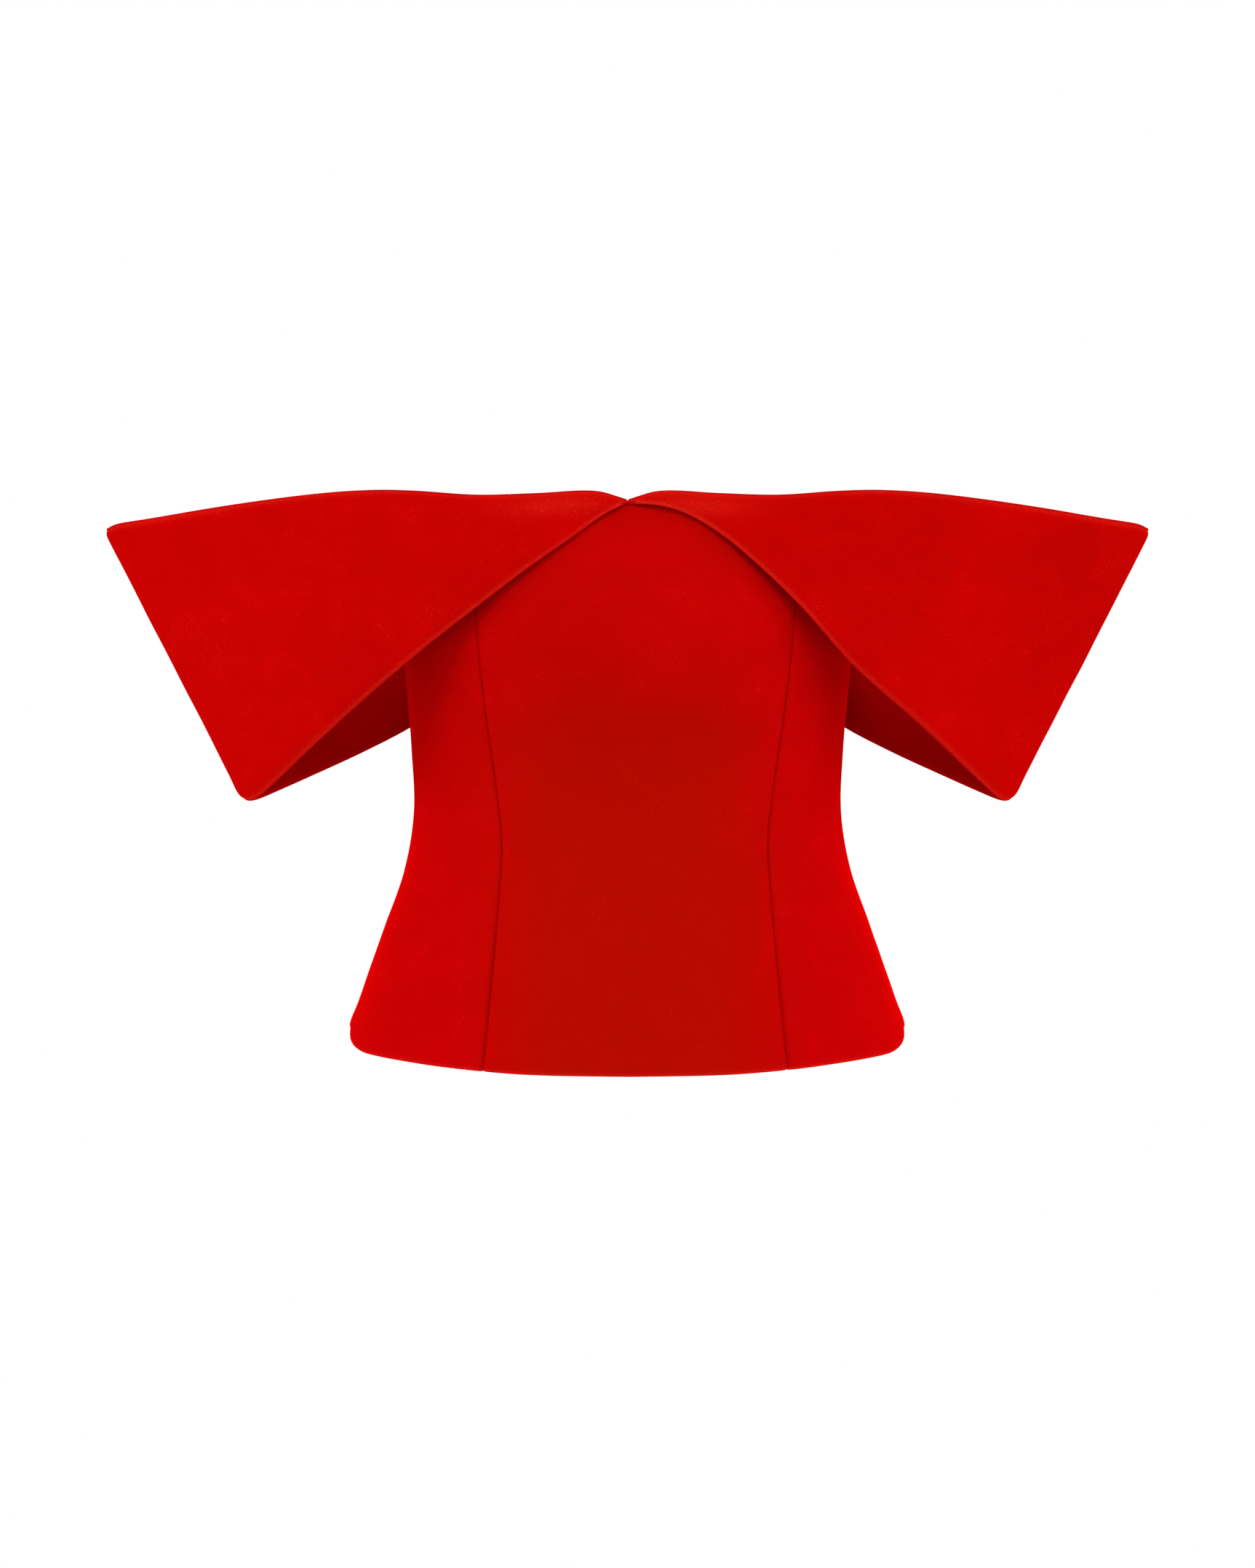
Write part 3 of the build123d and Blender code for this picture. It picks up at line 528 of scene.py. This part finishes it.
def velvet(name, deep, full, lit, sheen=0.55, middle=None):
    """Short dense pile: brushed patches, a fine grain and a soft sheen where it turns away. Where
    middle is given, that darker colour is painted down the middle of the waist as shade, fading to the
    sides. The lit colour is painted highlight on glinting tips and along the rims, and the seams get
    painted shade."""
    f = Finish(name, Sheen_Weight=sheen, Sheen_Roughness=0.42, Sheen_Tint=(1.0, 0.0, 0.0, 1.0),
               Specular_IOR_Level=0.0)
    brushed = f.noise(9, 3, 0.55, 0.8)
    stroked = f.noise(34, 3, 0.6, 1.1)
    crushed = f.noise(170, 2, 0.55, 0.3)
    grain = f.noise(2300, 2, 0.7)
    tips = f.noise(900, 2, 0.6)
    patch = (brushed * 0.50 + stroked * 0.22 + crushed * 0.10 + grain * 0.18).above(0.28, 0.72)
    colour = f.blend_colours(patch, deep, full)
    # Painted shade: the middle colour darkens the pile down the middle, fading out towards the sides and
    # upwards.
    if middle:
        across, height = (
            f.node("ShaderNodeSeparateXYZ", {}, f.place, output=key) for key in ("X", "Z")
        )
        off_centre = across.math("ABSOLUTE", across) + brushed * 0.02
        painted_centre_shade = (1 - off_centre.above(0.045, 0.125)) * (1 - height.above(0.02, 0.11) * 0.75)
        colour = f.blend_colours(painted_centre_shade, colour, middle)
    # Painted highlight: the lit colour on glinting pile tips, strongest along the rims, and a wash of it
    # over the rims themselves.
    rim = f.mark("rim")
    caught = stroked.above(0.50, 0.70) * 0.35 + rim * 1.2
    lit_tips = ((tips * 0.6 + grain * 0.4).above(0.55, 0.68) * caught).clamped()
    colour = f.blend_colours(lit_tips, colour, lit)
    # Painted shade: a darker line beside each seam, in its groove.
    colour = f.blend_colours(f.mark("seam") * 0.34, colour, tuple(0.3 * c for c in deep))
    colour = f.blend_colours(rim * 0.30, colour, lit)
    height = grain * 0.5 + tips * 0.5 + crushed * 1.2 + stroked * 1.5
    return f.feed(Base_Color=colour, Roughness=(patch * -0.10 + 0.92).clamped(),
                  Normal=f.relief(height, 0.0004, 0.55))


def woven(name, colour, dark, thread, rough=0.8):
    """Plain woven cloth, its threads along the height and across."""
    f = Finish(name, Sheen_Weight=0.2, Sheen_Roughness=0.5, Sheen_Tint=(*colour, 1.0),
               Specular_IOR_Level=0.05)
    warp = f.wave("X", thread, 0.6)
    weft = f.wave("Z", thread, 0.6)
    mottle = f.noise(60, 3)
    threads = warp * 0.5 + weft * 0.5
    tone = f.blend_colours((threads * 0.6 + mottle * 0.4).above(0.2, 0.8), dark, colour)
    return f.feed(Base_Color=tone, Roughness=(mottle * 0.15 + (rough - 0.08)).clamped(),
                  Normal=f.relief(threads, 0.00012, 0.6))


def satin(name, colour, dark):
    """Smooth lining satin with faint slubs and soft creases."""
    f = Finish(name, Sheen_Weight=0.2, Sheen_Roughness=0.3, Sheen_Tint=(*colour, 1.0),
               Specular_IOR_Level=0.0, Metallic=0.3, Anisotropic=0.5)
    slub = f.noise(40, 3, 0.6, place=f.stretched(1.0, 1.0, 14.0))
    crease = f.noise(18, 2, 0.5, 1.5)
    fibre = f.noise(1500, 1, place=f.stretched(1.0, 1.0, 0.06))
    tone = f.blend_colours((slub * 0.5 + fibre * 0.5).above(0.3, 0.7), dark, colour)
    return f.feed(Base_Color=tone, Roughness=(slub * 0.12 + 0.42).clamped(),
                  Normal=f.relief(crease * 2.0 + fibre * 0.15 + slub * 0.2, 0.0009, 0.45))


def ribbed(name, colour, dark):
    """Grosgrain ribbon: close ribs across it."""
    f = Finish(name, Sheen_Weight=0.15, Sheen_Roughness=0.5, Sheen_Tint=(*colour, 1.0),
               Specular_IOR_Level=0.05)
    ribs = f.wave("DIAGONAL", 350.0, 0.2)
    dust = f.noise(300, 2)
    tone = f.blend_colours((ribs * 0.7 + dust * 0.3).above(0.2, 0.8), dark, colour)
    return f.feed(Base_Color=tone, Roughness=(dust * 0.2 + 0.6).clamped(),
                  Normal=f.relief(ribs, 0.0002, 0.7))


def enamel(name, colour, worn):
    """Painted zinc: glossy, with the paint thinner and rubbed through in scattered spots."""
    f = Finish(name, Specular_IOR_Level=0.05, Coat_Roughness=0.15, Coat_IOR=1.3)
    rubs = f.noise(420, 4, 0.65)
    speck = f.noise(2600, 1)
    wear = (rubs * 0.75 + speck * 0.25).above(0.60, 0.72)
    return f.feed(Base_Color=f.blend_colours(wear, colour, worn), Metallic=wear * 0.4 + 0.4,
                  Roughness=(rubs * 0.25 + 0.24).clamped(), Coat_Weight=(1 - wear) * 0.2,
                  Normal=f.relief(rubs, 0.00004, 0.3))


def moulded(name, colour, dark, rough=0.45):
    """Moulded plastic with a faint flow pattern."""
    f = Finish(name, Specular_IOR_Level=0.03)
    flow = f.noise(260, 3, 0.5, place=f.stretched(1.0, 1.0, 0.2))
    return f.feed(Base_Color=f.blend_colours(flow.above(0.3, 0.7), dark, colour),
                  Roughness=(flow * 0.2 + (rough - 0.1)).clamped(),
                  Normal=f.relief(flow, 0.00005, 0.4))


VELVET = velvet("red_velvet", (0.275, 0.0006, 0.0), (0.345, 0.0003, 0.0004), (0.62, 0.020, 0.012))
# The bodice's velvet, with painted shade down its middle.
VELVET_BODICE = velvet("red_velvet_bodice", (0.275, 0.0004, 0.0003), (0.355, 0.0001, 0.0008),
                       (0.60, 0.012, 0.010), middle=(0.272, 0.0019, 0.0))
# A darker copy of the velvet: painted shade for the insides of the flaps and the hem.
VELVET_INSIDE_SHADED = velvet("red_velvet_facing_shaded", (0.24, 0.0006, 0.0), (0.32, 0.0, 0.0004),
                       (0.50, 0.008, 0.006), sheen=0.35)
SATIN = satin("red_lining_satin", (0.46, 0.002, 0.005), (0.33, 0.001, 0.003))
INTERLINING = woven("interlining_canvas", (0.70, 0.67, 0.61), (0.52, 0.49, 0.44), 900.0)
CASING = woven("casing_tape", (0.30, 0.005, 0.008), (0.20, 0.002, 0.004), 1400.0)
TAPE = woven("zip_tape_weave", (0.36, 0.0, 0.001), (0.27, 0.0, 0.0006), 1600.0, rough=0.7)
FOAM = woven("cup_foam", (0.36, 0.006, 0.010), (0.28, 0.003, 0.006), 1900.0, rough=0.85)
RIBBON = ribbed("stay_grosgrain", (0.26, 0.001, 0.003), (0.17, 0.0, 0.001))
LOOP = satin("loop_satin", (0.42, 0.002, 0.004), (0.32, 0.001, 0.002))
BONE = moulded("bone_plastic", (0.86, 0.86, 0.83), (0.78, 0.78, 0.75))
COIL = moulded("coil_nylon", (0.42, 0.0, 0.001), (0.33, 0.0, 0.0008), rough=0.42)
SILICONE = moulded("gripper_silicone", (0.36, 0.004, 0.004), (0.28, 0.002, 0.002), rough=0.4)
ENAMEL = enamel("red_enamel", (0.42, 0.0, 0.001), (0.46, 0.03, 0.02))

# ---------------------------------------------------------------- the bodice
SEAM_LAP = 0.45  # a panel runs this far past its seam, into the next one
VELVET_THICK, LINING_THICK = 1.5, 0.5
LINING_OUT = -6.3  # the lining's outer face, out from the velvet's
LINING_INSET = 4.0  # how far the lining stops short of the hem and the neckline
LINING_ZIP_X = 7.0  # how far from the centre it stops at the zip


def between(first, second):
    """A panel's two edge angles at a height, from the (side, seam) pairs that it lies between."""
    def turns(z):
        lap = SEAM_LAP / half_width(z)
        (side_a, seam_a), (side_b, seam_b) = first, second
        a, b = side_a * seam_a(z), side_b * seam_b(z)
        return (a if seam_a is placket_turn else a - lap), (b if seam_b is placket_turn else b + lap)
    return turns


PANELS = {
    "centre_front": (between((-1, right_front_turn), (1, left_front_turn)), FRONT_NECK, 56, 80),
    "left_side_front": (between((1, left_front_turn), (1, side_turn)), FRONT_NECK, 30, 72),
    "right_side_front": (between((-1, side_turn), (-1, right_front_turn)), FRONT_NECK, 30, 72),
    "left_side_back": (between((1, side_turn), (1, back_turn)), BACK_NECK, 30, 72),
    "right_side_back": (between((-1, back_turn), (-1, side_turn)), BACK_NECK, 30, 72),
    "left_back": (between((1, back_turn), (1, placket_turn)), BACK_NECK, 24, 80),
    "right_back": (between((-1, placket_turn), (-1, back_turn)), BACK_NECK, 24, 80),
}


def fit(piece, material, nodes, body="bodice"):
    """Gives a piece its finish, hides the CAD nodes it stands for and attaches it to its body."""
    piece.data.materials.append(material)
    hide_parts(*nodes)
    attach(piece, body)
    return piece


def opened(turns, edge_x):
    """The same panel with its edge at the zip moved to edge_x from the centre."""
    def moved(z):
        limit = turn_of(edge_x, z, True)
        return tuple(min(max(turn, -limit), limit) for turn in turns(z))
    return moved


for seed, (panel, (turns, neck, across, along)) in enumerate(PANELS.items()):
    size = (across, along) if FINE else (across, along // 2)
    outer = torso_sheet(f"{panel}_velvet", turns, panel_limits(neck), 0.0, VELVET_THICK, size,
                        flare(seed))
    fit(outer, VELVET_BODICE, [f"{panel}_panel"])
    lining = torso_sheet(f"{panel}_lining_satin", opened(turns, LINING_ZIP_X),
                         panel_limits(neck, LINING_INSET, LINING_INSET), LINING_OUT, LINING_THICK,
                         size, lining_shape(seed + 20))
    fit(lining, SATIN, [f"{panel}_lining"])


# ---------------------------------------------------------------- tapes, facings and cups inside
BACK_FACING_X = 15.2  # where the hem facing stops beside the zip
STAY_X, STAY_LOW, STAY_HIGH = 6.0, -9.0, 15.0
GRIPPER_ZIP_X, GRIPPER_END_X = 15.0, 88
GRIPPER_LOW, GRIPPER_HIGH = 13.5, 5.5  # below the neckline
GRIPPER_OUT, GRIPPER_THICK = -7.0, 0.7


def narrow_band(gap_a, gap_b, from_low, from_high, x, z):
    """Woven tape: selvedges drawn down a little, a line of stitching along each."""
    edge = min(from_low, from_high)
    return -0.25 * bump_at(edge, 0.8) - 0.12 * bump_at(edge - 1.6, 0.35) + 0.12 * drape(x, z, 18, 40)


def round_front(z):
    return -side_turn(z), side_turn(z)


def half_back(side):
    return lambda z: sorted((side * side_turn(z), side * turn_of(BACK_FACING_X, z, True)))


def round_back(z):
    limit = turn_of(STAY_X, z, True)
    return -limit, limit


def hem_band(low, high):
    return lambda x_at: (settle(HEM, x_at, HEM_START) + low, settle(HEM, x_at, HEM_START) + high)


def neck_band(neck, low, high):
    return lambda x_at: (settle(neck, x_at, BAND_START) - low, settle(neck, x_at, BAND_START) - high)


def band(name, turns, limits, out, thickness, size):
    return torso_sheet(name, turns, limits, out, thickness, size, narrow_band, spread=0.0, seams=False)


for name, turns, across in (("front_hem_facing", round_front, 90),
                            ("left_back_hem_facing", half_back(1), 40),
                            ("right_back_hem_facing", half_back(-1), 40)):
    facing = band(f"{name}_cloth", turns, hem_band(0.4, 25.0), -1.6, 1.0, (across, 10))
    fit(facing, VELVET_INSIDE_SHADED, [name])

stay = band("waist_stay_cloth", round_back, lambda x_at: (STAY_LOW, STAY_HIGH), -7.0, 0.6, (150, 14))
fit(stay, RIBBON, ["waist_stay"])


def gripper_limits(neck):
    return neck_band(neck, GRIPPER_LOW, GRIPPER_HIGH)


def joined(name, pieces):
    """Several strips made one piece, their modifiers applied."""
    bpy.context.view_layer.update()
    graph = bpy.context.evaluated_depsgraph_get()
    bm = bmesh.new()
    for piece in pieces:
        bm.from_mesh(bpy.data.meshes.new_from_object(piece.evaluated_get(graph)))
    for piece in pieces:
        bpy.data.objects.remove(piece)
    return new_piece(name, bm)


gripper = band("front_gripper_tape_cloth",
               lambda z: (-turn_of(GRIPPER_END_X, z, False), turn_of(GRIPPER_END_X, z, False)),
               gripper_limits(FRONT_NECK), GRIPPER_OUT, GRIPPER_THICK, (60, 16))
fit(gripper, SILICONE, ["front_gripper_tape"])
halves = [
    band("gripper",
         lambda z, side=side: sorted(side * turn_of(x, z, True) for x in (GRIPPER_ZIP_X, GRIPPER_END_X)),
         gripper_limits(BACK_NECK), GRIPPER_OUT, GRIPPER_THICK, (30, 16))
    for side in SIDES
]
fit(joined("back_gripper_tape_cloth", halves), SILICONE, ["back_gripper_tape"])

CASING_HALF = 5.0
CASING_OUT, CASING_THICK = -2.7, 0.4
CASING_LOW, CASING_OVER = -113.5, 1.5  # its lower end, and how far it runs past its bone above
SEAM_BONE_TOP, SIDE_BONE_TOP = 165.0, 92.0
ZIP_BONE_X = 21.5


def strip_turns(centre, behind):
    """Angles of a casing whose middle line is centre(z) from the centre of the garment."""
    def turns(z):
        x = centre(z)
        ends = (abs(x) - CASING_HALF, abs(x) + CASING_HALF)
        return tuple(sorted(math.copysign(turn_of(end, z, behind), x) for end in ends))
    return turns


def side_strip(side):
    def turns(z):
        middle, spread = side * side_turn(z), CASING_HALF / back_depth(z)
        return middle - spread, middle + spread
    return turns


def channel(gap_a, gap_b, from_low, from_high, x, z):
    """A casing hugs its bone: raised in the middle, stitched flat beside it."""
    edge = min(gap_a, gap_b)
    return 0.45 * bump_at(edge - 4.0, 2.2) - 0.2 * bump_at(edge, 0.9)


SEAM_STRIPS = [
    (lambda z, side: side * curve(FRONT_SEAM, z) + FRONT_SHIFT, False),
    (lambda z, side: side * curve(BACK_SEAM, z), True),
    (lambda z, side: side * ZIP_BONE_X, True),
]
STRIPS = [
    (strip_turns(lambda z, line=line, side=side: line(z, side), behind), SEAM_BONE_TOP)
    for line, behind in SEAM_STRIPS for side in SIDES
] + [(side_strip(side), SIDE_BONE_TOP) for side in SIDES]
casings = [
    torso_sheet("casing", turns, lambda x_at, top=top: (CASING_LOW, top + CASING_OVER), CASING_OUT,
                CASING_THICK, (10, 40), channel, 0.0, False)
    for turns, top in STRIPS
]
fit(joined("bone_casings_tape", casings), CASING, ["bone_casings"])

CUP_X, CUP_Z, CUP_RADIUS = 66.0, 110.0, 49.5
CUP_DEPTH, CUP_HALF = 4.75, 1.45  # its middle surface below the velvet's face, and half its thickness


def bust_cup(side):
    """A moulded foam cup between velvet and lining, thick in the middle, thin at its edge."""
    bm = bmesh.new()
    bmesh.ops.create_uvsphere(bm, u_segments=64, v_segments=40, radius=1.0)
    for vert in bm.verts:
        x, y, h = vert.co
        rise = CUP_Z + CUP_RADIUS * y
        reach = CUP_X + CUP_RADIUS * x
        out = -(CUP_DEPTH - CUP_HALF * h) + 0.12 * drape(reach, rise, 16, 50 + side)
        vert.co = round_torso(side * turn_of(reach, rise, False), rise, out)
    if side < 0:
        bmesh.ops.reverse_faces(bm, faces=bm.faces)
    cup = new_piece(sided(side, "bust_cup_foam"), bm)
    fit(cup, FOAM, [sided(side, "bust_cup")])


for side in SIDES:
    bust_cup(side)

# ---------------------------------------------------------------- the zip
TAPE_X, TAPE_WIDTH, TAPE_DEPTH, TAPE_THICK = 0.6, 14.3, 2.05, 0.4
TAPE_LOW, TAPE_HIGH = -145.8, 171.8
COIL_LOW, COIL_HIGH, COIL_PITCH = -139.4, 165.4, 1.27
COIL_X, COIL_DEPTH = 0.98, 1.28  # the middle of a turn, from the centre and inside the velvet's face
TURN_ACROSS, TURN_ALONG, TURN_THROUGH = 1.68, 0.58, 0.62  # half its sizes


def along_zip(x, depth, z):
    """A point beside the centre back seam's arc, depth inside its surface."""
    turn = math.asin((z - BACK_ARC_Z) / BACK_ARC_R)
    radius = BACK_ARC_R + depth
    return Vector((x, BACK_ARC_Y - radius * math.cos(turn), BACK_ARC_Z + radius * math.sin(turn))) * MM


def zip_tape(side):
    def place(s, t):
        x = TAPE_X + TAPE_WIDTH * (s if side > 0 else 1 - s)
        z = TAPE_LOW + (TAPE_HIGH - TAPE_LOW) * t
        depth = TAPE_DEPTH + 0.06 * drape(x, z, 9, 60) + 0.06 * bump_at(x - 5.0, 0.5)
        return along_zip(side * x, depth, z), 0.0, 0.0

    tape = cloth(sided(side, "zip_tape_cloth"), 16, 120, place, TAPE_THICK)
    fit(tape, TAPE, [sided(side, "zip_tape")])


def zip_coil(side):
    """The coil's turns: short rounded bars across the tape's edge, set between the other coil's."""
    bm = bmesh.new()
    for i in range(int((COIL_HIGH - COIL_LOW) / COIL_PITCH)):
        z = COIL_LOW + COIL_PITCH * (i + (0.25 if side > 0 else 0.75))
        made = bmesh.ops.create_uvsphere(bm, u_segments=10, v_segments=6, radius=1.0)
        for vert in made["verts"]:
            across, around, up = vert.co
            bulge = 0.14 * max(-side * across, 0.0) ** 4
            vert.co = along_zip(side * COIL_X + across * TURN_ACROSS, COIL_DEPTH - TURN_THROUGH * up,
                                z + around * (TURN_ALONG + bulge))
    turns = new_piece(sided(side, "zip_coil_turns"), bm)
    fit(turns, COIL, [sided(side, "zip_coil")])


for side in SIDES:
    zip_tape(side)
    zip_coil(side)

# ---------------------------------------------------------------- hanger loops
LOOP_LENGTH, LOOP_WIDTH, LOOP_THICK = 72.0, 5.8, 0.3
LOOP_RADIUS = 0.45  # of the ribbon's middle surface where it turns back
LOOP_END = 0.55  # from a bend's middle to the loop's end
LOOP_TOP, LOOP_INSET = 99.0, 8.15  # height of its pivot, and how far inside the side seam it is sewn
LOOP_LEAN = math.radians(4.7)


def hanger_loop(side):
    """A satin ribbon folded double: down, round its lower end and up again, closed at the top."""
    straight = LOOP_LENGTH - 2 * LOOP_END
    bend = math.pi * LOOP_RADIUS
    around = 2 * straight + 2 * bend
    pivot = Vector((half_width(LOOP_TOP) - LOOP_INSET, SIDE_Y, LOOP_TOP))
    cos, sin = math.cos(LOOP_LEAN), math.sin(LOOP_LEAN)

    def loop_point(run):
        run %= around
        if run < straight:
            return LOOP_RADIUS, -run
        run -= straight
        if run < bend:
            angle = run / LOOP_RADIUS
            return LOOP_RADIUS * math.cos(angle), -straight - LOOP_RADIUS * math.sin(angle)
        run -= bend
        if run < straight:
            return -LOOP_RADIUS, -straight + run
        angle = (run - straight) / LOOP_RADIUS
        return -LOOP_RADIUS * math.cos(angle), LOOP_RADIUS * math.sin(angle)

    def place(s, t):
        x, z = loop_point(around * (t if side > 0 else 1 - t))
        x += 0.05 * math.sin(z / 9) * bump_at(z + 36, 22)
        spot = pivot + Vector((x * cos + z * sin, LOOP_WIDTH * (s - 0.5), z * cos - x * sin))
        return Vector((side * spot.x, spot.y, spot.z)) * MM, 0.0, 0.0

    name = sided(side, "hanger_loop")
    ribbon = cloth(f"{name}_ribbon", 8, 160, place, LOOP_THICK, subdivide=0)
    ribbon.modifiers["thickness"].offset = 0
    fit(ribbon, LOOP, [name], name)


for side in SIDES:
    hanger_loop(side)

# ---------------------------------------------------------------- the collar
CANVAS_OUT, CANVAS_THICK, CANVAS_INSETS = 3.0, 0.8, (2.0, 3.2)
FACING_OUT = 2.1

for side in SIDES:
    outer = [sided(side, f"{part}_{face}") for part in ("collar", "wing")
             for face in ("front", "back")]
    collar_sheet(sided(side, "collar_velvet"), side, FLAP_OUT, VELVET_THICK, velvet_flap(5 + side),
                 VELVET, outer)
    collar_sheet(sided(side, "collar_canvas"), side, CANVAS_OUT, CANVAS_THICK, flat_flap, INTERLINING,
                 [sided(side, f"{part}_interlining") for part in ("collar", "wing")],
                 margins=CANVAS_INSETS)
    collar_sheet(sided(side, "collar_facing"), side, FACING_OUT, VELVET_THICK, facing_flap(8 + side),
                 VELVET_INSIDE_SHADED, [f"{name}_facing" for name in outer])

# ---------------------------------------------------------------- CAD pieces that show as they are
KEPT = [
    (BONE, ("princess_seam_bones", "back_seam_bones", "side_seam_bones", "zip_side_bones")),
    (ENAMEL, ("zip_retaining_box", "zip_top_stops", "zip_slider", "zip_pull", "neck_hook_and_eye",
              "waist_hook_and_eye")),
]
for material, names in KEPT:
    for name in names:
        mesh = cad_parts[name].data
        mesh.materials.clear()
        mesh.materials.append(material)

# ---------------------------------------------------------------- floor, light and camera, in metres
FLOOR_RADIUS, FLOOR_Z = 3.4, -1.05
SOFTBOXES = [  # name, place, aimed at, sizes, watts
    ("key", (-0.35, -1.9, 2.3), (0, 0, 0.05), (1.5, 0.9), 46),
    ("fill", (0.9, -2.8, 0.9), (0, 0, 0.02), (1.6, 1.6), 14),
    ("left_rim", (2.4, -0.3, 0.5), (0, 0, 0.0), (0.7, 1.8), 26),
    ("right_rim", (-2.4, -0.3, 0.5), (0, 0, 0.0), (0.7, 1.8), 26),
    ("back_key", (0.3, 2.2, 2.0), (0, 0, 0.05), (1.5, 1.0), 34),
]
EYE_BACK, EYE_Z = 3.0, 0.0216
SENSOR = 36.0
VIEW_HEIGHT = 0.94864  # what the frame shows of the plane through the garment's middle

bm = bmesh.new()
bmesh.ops.create_circle(bm, cap_ends=True, segments=64, radius=FLOOR_RADIUS)
floor = new_piece("floor", bm)
floor.data.transform(Matrix.Translation((0, 0, FLOOR_Z)))
pale = Finish("pale_floor", Specular_IOR_Level=0.1)
mottled = pale.blend_colours(pale.noise(3, 2), (0.955, 0.955, 0.955), (0.98, 0.98, 0.98))
floor.data.materials.append(pale.feed(Base_Color=mottled))

for name, place, aim, size, watts in SOFTBOXES:
    lamp = bpy.data.lights.new(name, "AREA")
    lamp.shape, lamp.size, lamp.size_y, lamp.energy = "RECTANGLE", size[0], size[1], watts
    holder = bpy.data.objects.new(name, lamp)
    holder.location = place
    holder.rotation_euler = (Vector(aim) - Vector(place)).to_track_quat("-Z", "Y").to_euler()
    bpy.context.collection.objects.link(holder)

world = bpy.data.worlds.new("studio")
world.use_nodes = True
sky = world.node_tree.nodes["Background"].inputs
sky[0].default_value = (1, 1, 1, 1)
sky[1].default_value = 1.0
bpy.context.scene.world = world
bpy.context.scene.view_settings.view_transform = "Standard"

camera = bpy.data.cameras.new("camera")
camera.sensor_width, camera.lens = SENSOR, SENSOR * EYE_BACK / VIEW_HEIGHT
eye = bpy.data.objects.new("camera", camera)
eye.location = (0.0, -EYE_BACK, EYE_Z)
eye.rotation_euler = (math.pi / 2, 0, 0)
bpy.context.collection.objects.link(eye)
bpy.context.scene.camera = eye
